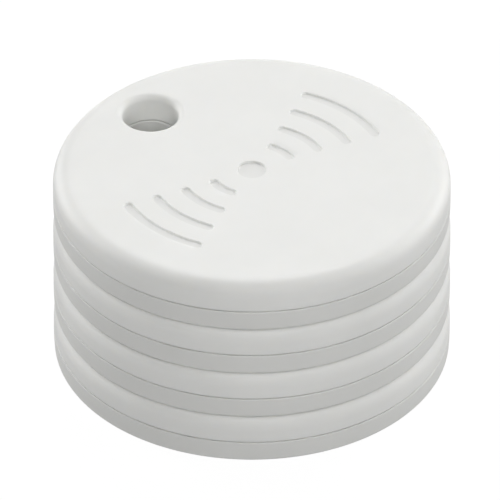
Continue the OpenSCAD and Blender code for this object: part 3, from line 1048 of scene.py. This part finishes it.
class TRACKER_OT_cells(bpy.types.Operator):
    """Makes the coin cells: a can with a rolled edge, a gasket and a smaller cap, on a foam pad."""

    bl_idname = "tracker.cells"
    bl_label = "Coin cells"

    def execute(self, context):
        around = full_turn(192)
        for at in LAYOUTS:
            middle = (0, at.core_y)
            can, gasket, cap, pad = Surface(), Surface(), Surface(), Surface()
            turned_solid(can, self.can_path(at), around, middle)
            turned_loop(gasket, self.gasket_path(at), around, middle)
            turned_solid(cap, self.cap_path(at), around, middle)
            turned_solid(pad, self.pad_path(at), full_turn(96), middle)
            for surface, name in ((can, "cell_can"), (gasket, "cell_gasket"), (cap, "cell_cap")):
                finish = "gasket" if surface is gasket else name
                keep(at, surface, name, finish, "cell", "cell_steel", "battery")
            keep(at, pad, "pad", "foam", "base", "foam", "battery_pad")
        return {"FINISHED"}

    def can_path(self, at):
        """Flat underside with a shallow pressed ring, round lower edge, straight side and rolled top edge."""
        low, roll = at.cell_low, at.cell_high - CAP_RISE
        press = 0.04 * MM
        return rounded_path(
            [(0.2 * MM, low), (8.2 * MM, low), (8.25 * MM, low + press), (8.55 * MM, low + press),
             (8.6 * MM, low), (at.cell_r, low), (at.cell_r, roll), (CAP_R + 0.17 * MM, roll),
             (CAP_R + 0.17 * MM, roll - 0.2 * MM), (0.2 * MM, roll - 0.2 * MM)],
            mm(0.02, 0.02, 0.02, 0.02, 0.3, 0.32, 0.05, 0.02), steps=6, hold=0.01 * MM)

    def gasket_path(self, at):
        """The gasket's visible lip, which stands a little above the can's edge."""
        low, high = at.cell_high - CAP_RISE - 0.25 * MM, at.cell_high - CAP_RISE + 0.04 * MM
        inner, outer = CAP_R - 0.02 * MM, CAP_R + 0.18 * MM
        return np.array([(inner, low), (outer, low), (outer, high - 0.04 * MM), (outer - 0.04 * MM, high),
                         (inner + 0.04 * MM, high), (inner, high - 0.03 * MM)])

    def cap_path(self, at):
        """A round-edged cap with a shallow step inside its edge."""
        low, high = at.cell_high - CAP_RISE - 0.2 * MM, at.cell_high
        return rounded_path(
            [(0.2 * MM, low), (CAP_R, low), (CAP_R, high), (7.9 * MM, high), (7.8 * MM, high - 0.03 * MM),
             (7.5 * MM, high - 0.03 * MM), (7.4 * MM, high), (0.2 * MM, high)],
            mm(0.02, 0.15, 0.02, 0.02, 0.02, 0.02), steps=6, hold=0.01 * MM)

    def pad_path(self, at):
        """A thin round pad with soft edges."""
        return rounded_path(
            [(1 * MM, at.floor), (at.pad_r, at.floor), (at.pad_r, at.pad_high), (1 * MM, at.pad_high)],
            mm(0.03, 0.045), steps=4, hold=0.005 * MM)


class TRACKER_OT_chips(bpy.types.Operator):
    """Makes the radio chips with their leads, the chip antennas, the crystals and the capacitors."""

    bl_idname = "tracker.chips"
    bl_label = "Chips and small parts"

    def execute(self, context):
        for at in LAYOUTS:
            self.chip(at)
            self.antenna(at)
            self.crystal(at)
            self.capacitors(at)
        return {"FINISHED"}

    def chip(self, at):
        """A moulded package with slanted upper edges, and nine leads just outside each of its sides."""
        low, high = at.chip
        middle, width = (low + high)[:2] / 2, high[0] - low[0]
        package, leads = Surface(), Surface()
        block(package, middle, (width - 0.12 * MM,) * 2, low[2], high[2] - 0.02 * MM, 0.08 * MM, 0.06 * MM)
        reach = width / 2 - 0.12 * MM
        for side in range(4):
            turn = side * pi / 2
            for step in (np.arange(9) - 4) * 0.42 * MM:
                spot = (middle[0] + reach * cos(turn) - step * sin(turn),
                        middle[1] + reach * sin(turn) + step * cos(turn))
                block(leads, spot, mm(0.24, 0.2), high[2] - 0.12 * MM, high[2], 0.04 * MM, 0.02 * MM, turn)
        keep(at, package, "chip", "chip_black", "electronics", "chip", "radio_chip")
        keep(at, leads, "chip_leads", "tin", "electronics", "chip", "radio_chip")

    def antenna(self, at):
        """A ceramic bar with metal ends and a printed zigzag on its face."""
        low, high = at.antenna
        middle, size = (low + high)[:2] / 2, (high - low)[:2]
        bar, metal = Surface(), Surface()
        inset = 0.02 * MM
        face = low[2] + inset
        block(bar, middle, (size[0] - 2 * inset, size[1] - 2 * inset), face, high[2], 0.08 * MM, 0.06 * MM)
        end = 0.6 * MM
        for side in (-1, 1):
            spot = (middle[0], middle[1] + side * (size[1] - end) / 2)
            block(metal, spot, (size[0], end), low[2], high[2], 0.08 * MM, 0.04 * MM)
        line, turns = 0.16 * MM, 9
        pitch = (size[1] - 2 * end - 0.4 * MM) / turns
        reach = size[0] - 0.5 * MM
        printed = (low[2] + 0.005 * MM, face + 0.01 * MM, 0.04 * MM, 0.005 * MM)
        for i in range(turns + 1):
            y = middle[1] + (i - turns / 2) * pitch
            block(metal, (middle[0], y), (reach, line), *printed)
            if i < turns:
                x = middle[0] + (reach - line) / 2 * (1 if i % 2 else -1)
                block(metal, (x, y + pitch / 2), (line, pitch), *printed)
        keep(at, bar, "antenna_bar", "pale_ceramic", "electronics", "ceramic_part", "antenna")
        keep(at, metal, "antenna_metal", "tin", "electronics", "ceramic_part", "antenna")

    def crystal(self, at):
        """A ceramic tray with a metal lid."""
        turn = radians(325)
        middle = at_angle(PART_RING, turn, (0, at.core_y))
        tray, lid = Surface(), Surface()
        low = at.board_low - CRYSTAL_T
        block(tray, middle, mm(2, 2.5), low + 0.15 * MM, at.board_low, 0.1 * MM, 0.03 * MM, turn)
        block(lid, middle, mm(1.7, 2.2), low, low + 0.2 * MM, 0.2 * MM, 0.06 * MM, turn)
        keep(at, tray, "crystal_tray", "pale_ceramic", "electronics", "small_parts", "board_parts")
        keep(at, lid, "crystal_lid", "tin", "electronics", "small_parts", "board_parts")

    def capacitors(self, at):
        """A row of small ceramic bodies, each with a metal end on both sides."""
        bodies, ends = Surface(), Surface()
        low, high = at.board_low - CAPACITOR_T, at.board_low
        for angle in np.radians(np.arange(205, 246, 8)):
            middle = at_angle(PART_RING, angle, (0, at.core_y))
            block(bodies, middle, mm(0.9, 0.46), low + 0.02 * MM, high, 0.05 * MM, 0.04 * MM, angle)
            for side in (-1, 1):
                spot = (middle[0] + side * 0.38 * MM * cos(angle), middle[1] + side * 0.38 * MM * sin(angle))
                block(ends, spot, mm(0.24, 0.5), low, high, 0.06 * MM, 0.05 * MM, angle)
        keep(at, bodies, "capacitors", "tan_ceramic", "electronics", "small_parts", "board_parts")
        keep(at, ends, "capacitor_ends", "tin", "electronics", "small_parts", "board_parts")


class TRACKER_OT_contacts(bpy.types.Operator):
    """Makes the bent contacts of the cell and the sounder, the switch domes and the boards' gold pads."""

    bl_idname = "tracker.contacts"
    bl_label = "Contacts"

    def execute(self, context):
        for at in LAYOUTS:
            self.clip(at)
            self.spring(at)
            self.leaves(at)
            self.dome(at)
            self.pads(at)
        return {"FINISHED"}

    def clip(self, at):
        """A foot on the board's underside, bent down into a blade beside the cell."""
        low, high = at.clip
        half = SHEET / 2
        strip = Surface()
        bent_strip(
            strip, [(low[1], high[2] - half), (high[1] - half, high[2] - half), (high[1] - half, low[2])],
            [0.12 * MM], high[0] - low[0], SHEET,
            lambda along, across, up: (across + (low[0] + high[0]) / 2, along, up))
        keep(at, strip, "clip", "gold_plate", "electronics", "contact_metal", "positive_clip")

    def spring(self, at):
        """A strip folded back under itself."""
        low, high = at.spring
        half = SHEET / 2
        strip = Surface()
        bent_strip(
            strip, [(low[0], high[2] - half), (high[0] - half, high[2] - half), (high[0] - half, low[2] + half),
                    (low[0], low[2] + half)],
            [SHEET_BEND, SHEET_BEND], high[1] - low[1], SHEET,
            lambda along, across, up: (along, across + (low[1] + high[1]) / 2, up))
        keep(at, strip, "spring", "gold_plate", "electronics", "contact_metal", "negative_spring")

    def leaves(self, at):
        """Two strips bent into a C, one up to the ceramic disc and one up to the brass plate."""
        low, high = at.leaves
        half = SHEET / 2
        strips = Surface()
        for start, top in ((low[0], at.ceramic_low), (high[0] - LEAF_LONG, at.plate_low)):
            bent_strip(
                strips, [(start + LEAF_LONG, low[2] + half), (start + half, low[2] + half),
                         (start + half, top - half), (start + LEAF_LONG, top - half)],
                [SHEET_BEND, SHEET_BEND], high[1] - low[1], SHEET,
                lambda along, across, up: (along, across + (low[1] + high[1]) / 2, up))
        piece = keep(at, strips, "leaves", "gold_plate", "electronics", "contact_metal", "sounder_springs")
        yield_to_press(piece)

    def dome(self, at):
        """A round snap dome: a flat rim, and a bulge that follows half a cosine, with a small dimple on top."""
        radius = np.linspace(0.05, 1, 40) * at.dome_r
        share = np.clip(radius / (0.86 * at.dome_r), 0, 1)
        rise = (at.dome_high - at.board_high - SHEET * 0.5) * (1 + np.cos(pi * share)) / 2
        dimple = 0.03 * MM * np.exp(-(radius / (0.35 * MM)) ** 2)
        top = at.board_high + SHEET * 0.5 + rise - dimple
        outline = np.concatenate([np.stack([radius, top], -1), [(at.dome_r, at.board_high)],
                                  np.stack([radius, top - 0.4 * SHEET], -1)[-2::-1]])
        surface = Surface()
        turned_solid(surface, outline, full_turn(72), tuple(at.dome_centre))
        piece = keep(at, surface, "dome", "dome_steel", "electronics", "dome_steel", "switch_dome")
        yield_to_press(piece)

    def pads(self, at):
        """Gold rings around the post holes and the dome, and pads under the leaves and along the edge."""
        surface = Surface()
        low, high = at.board_high - PAD_SUNK, at.board_high + PAD_T
        for angle in POST_ANGLES:
            spot = at_angle(POST_RING, angle)
            flat_ring(surface, 1.25 * MM, 0.78 * MM, low, high, spot)
            flat_ring(surface, 1.25 * MM, 1.0 * MM, at.board_low - PAD_T, at.board_low + PAD_SUNK, spot)
        flat_ring(surface, at.dome_r + 0.4 * MM, at.dome_r + 0.05 * MM, low, high, tuple(at.dome_centre))
        for x in (0, (at.ceramic_r + at.plate_r) / 2):
            block(surface, (x, at.core_y), mm(2.9, 1.7), low, high, 0.15 * MM, 0.01 * MM)
        for angle in np.radians(np.arange(170, 231, 12)):
            block(surface, at_angle(15.6 * MM, angle), mm(1.0, 1.0), low, high, 0.45 * MM, 0.01 * MM, angle)
        keep(at, surface, "pads", "gold_plate", "electronics", "contact_metal")


class TRACKER_OT_sounders(bpy.types.Operator):
    """Makes the sounders: brass plate, ceramic disc with a silver print, and the bead of glue."""

    bl_idname = "tracker.sounders"
    bl_label = "Sounders"

    def execute(self, context):
        around = full_turn(144)
        for at in LAYOUTS:
            middle = (0, at.core_y)
            glue = Surface()
            for name, finish, slot, node, radius, low, high, edge in (
                    ("plate", "brass", "sounder_brass", "sounder_plate",
                     at.plate_r, at.plate_low, at.roof, 0.04 * MM),
                    ("ceramic", "disc_ceramic", "sounder_ceramic", "sounder_ceramic",
                     at.ceramic_r, at.ceramic_low + 0.01 * MM, at.plate_low, 0.04 * MM),
                    ("silver", "silver_print", "sounder_ceramic", "sounder_ceramic",
                     at.ceramic_r - 0.5 * MM, at.ceramic_low, at.ceramic_low + 0.05 * MM, 0.01 * MM)):
                surface = Surface()
                turned_solid(surface, self.disc_path(radius, low, high, edge), around, middle)
                keep(at, surface, name, finish, "lid", slot, node)
            turn = np.linspace(-pi, 0, 13)
            bead = np.stack([at.plate_r + 0.1 * MM + 0.3 * MM * np.cos(turn),
                             at.roof + 0.01 * MM + 0.13 * MM * np.sin(turn)], -1)
            turned_loop(glue, bead, around, middle)
            keep(at, glue, "glue", "glue", "lid", "seal")
        return {"FINISHED"}

    def disc_path(self, radius, low, high, edge):
        """A thin disc with rounded edges."""
        return rounded_path([(0.5 * MM, low), (radius, low), (radius, high), (0.5 * MM, high)], [edge, edge],
                            steps=4, hold=0.005 * MM)


class TRACKER_OT_stage(bpy.types.Operator):
    """Makes the floor, the soft lights and the camera."""

    bl_idname = "tracker.stage"
    bl_label = "Stage"

    def execute(self, context):
        self.floor()
        self.lights()
        self.camera()
        return {"FINISHED"}

    def floor(self):
        """A wide flat sheet under the stack. It looks white, and sends back less light than it shows."""
        mesh = bpy.data.meshes.new("floor")
        edge = np.array([(-1, -1, 0), (1, -1, 0), (1, 1, 0), (-1, 1, 0)]) * FLOOR_HALF
        mesh.from_pydata(edge.tolist(), [], [(0, 1, 2, 3)])
        floor = bpy.data.objects.new("floor", mesh)
        bpy.context.scene.collection.objects.link(floor)
        made, tree, shader, _ = material("floor_white", (0.08, 0.08, 0.08), 0.8)
        shader.inputs["Specular IOR Level"].default_value = 0.0
        ray = tree.nodes.new("ShaderNodeLightPath")
        dim = bpy.context.scene.tracker_stage.floor_glow
        strength = ranged(tree, ray.outputs["Is Camera Ray"], 0, 1, dim, FLOOR_WHITE)
        glow = node(tree, "ShaderNodeEmission", {"Color": (1, 1, 1, 1), "Strength": strength})
        both = tree.nodes.new("ShaderNodeAddShader")
        tree.links.new(shader.outputs[0], both.inputs[0])
        tree.links.new(glow.outputs[0], both.inputs[1])
        tree.links.new(both.outputs[0], tree.nodes["Material Output"].inputs["Surface"])
        mesh.materials.append(made)

    def lights(self):
        """The square soft lights, all turned to the stack, and an even fill that looks as pale as the floor."""
        stage = bpy.context.scene.tracker_stage
        middle = Vector((0, 0, 0.02))
        right = Vector((cos(stage.azimuth), sin(stage.azimuth), 0))
        back = Vector((-sin(stage.azimuth), cos(stage.azimuth), 0))
        for name, (across, behind, height, width) in LIGHTS.items():
            place = across * right + behind * back + Vector((0, 0, height))
            power = getattr(stage, f"{name}_power")
            light = bpy.data.lights.new(name, "AREA")
            light.shape, light.size, light.energy = "SQUARE", width, power
            lamp = bpy.data.objects.new(name, light)
            lamp.location = place
            lamp.rotation_euler = (middle - place).to_track_quat("-Z", "Y").to_euler()
            bpy.context.scene.collection.objects.link(lamp)
        world = bpy.data.worlds.new("soft")
        world.use_nodes = True
        tree = world.node_tree
        shade = tree.nodes["Background"]
        shade.inputs["Color"].default_value = (1, 1, 1, 1)
        ray = tree.nodes.new("ShaderNodeLightPath")
        strength = ranged(tree, ray.outputs["Is Camera Ray"], 0, 1, stage.fill, FLOOR_WHITE)
        tree.links.new(strength, shade.inputs["Strength"])
        bpy.context.scene.world = world
        bpy.context.scene.view_settings.view_transform = "Standard"

    def camera(self):
        """A long lens from the front and above, aimed close to the stack's axis."""
        stage = bpy.context.scene.tracker_stage
        lens = bpy.data.cameras.new("camera")
        lens.sensor_width = 36
        lens.lens = lens.sensor_width * stage.distance / stage.view_width
        lens.clip_end = 20
        right = Vector((cos(stage.azimuth), sin(stage.azimuth), 0))
        ahead = Vector((-sin(stage.azimuth), cos(stage.azimuth), 0))
        aim = Vector((0, 0, cad_box[1][2] - AIM_BELOW_TOP)) - AIM_RIGHT * right
        view = ahead * cos(stage.elevation) - Vector((0, 0, sin(stage.elevation)))
        camera = bpy.data.objects.new("camera", lens)
        camera.location = aim - view * stage.distance
        camera.rotation_euler = view.to_track_quat("-Z", "Y").to_euler()
        bpy.context.scene.collection.objects.link(camera)
        bpy.context.scene.camera = camera


class TRACKER_OT_carried(bpy.types.Operator):
    """Gives the CAD pieces that stay as they are their finishes."""

    bl_idname = "tracker.carried"
    bl_label = "Carried pieces"

    def execute(self, context):
        for name, piece in frame["nodes"].items():
            finish = FINISHES.get(name.split("_", 1)[1])
            if finish and not piece.hide_render:
                piece.data.materials.clear()
                piece.data.materials.append(finish_named(finish))
        return {"FINISHED"}


class TRACKER_PT_panel(bpy.types.Panel):
    """Lists the operators and the settings."""

    bl_idname = "TRACKER_PT_panel"
    bl_label = "Tracker tags"
    bl_space_type = "VIEW_3D"
    bl_region_type = "UI"
    bl_category = "Tracker"

    def draw(self, context):
        column = self.layout.column()
        for operator in OPERATORS:
            column.operator(operator.bl_idname)
        for settings in (context.scene.tracker_shape, context.scene.tracker_look, context.scene.tracker_stage):
            for name in settings.__annotations__:
                column.prop(settings, name)


OPERATORS = (TRACKER_OT_top_covers, TRACKER_OT_bottom_covers, TRACKER_OT_cells, TRACKER_OT_chips,
             TRACKER_OT_contacts, TRACKER_OT_sounders, TRACKER_OT_carried, TRACKER_OT_stage)
GROUPS = {"tracker_shape": TrackerShape, "tracker_look": TrackerLook, "tracker_stage": TrackerStage}


def register():
    for made in (*GROUPS.values(), *OPERATORS, TRACKER_PT_panel):
        bpy.utils.register_class(made)
    for name, made in GROUPS.items():
        setattr(bpy.types.Scene, name, PointerProperty(type=made))


def unregister():
    for name in GROUPS:
        delattr(bpy.types.Scene, name)
    for made in reversed((*GROUPS.values(), *OPERATORS, TRACKER_PT_panel)):
        bpy.utils.unregister_class(made)


def main():
    register()
    for operator in OPERATORS:
        family, name = operator.bl_idname.split(".")
        getattr(getattr(bpy.ops, family), name)()


if __name__ == "__main__":
    main()
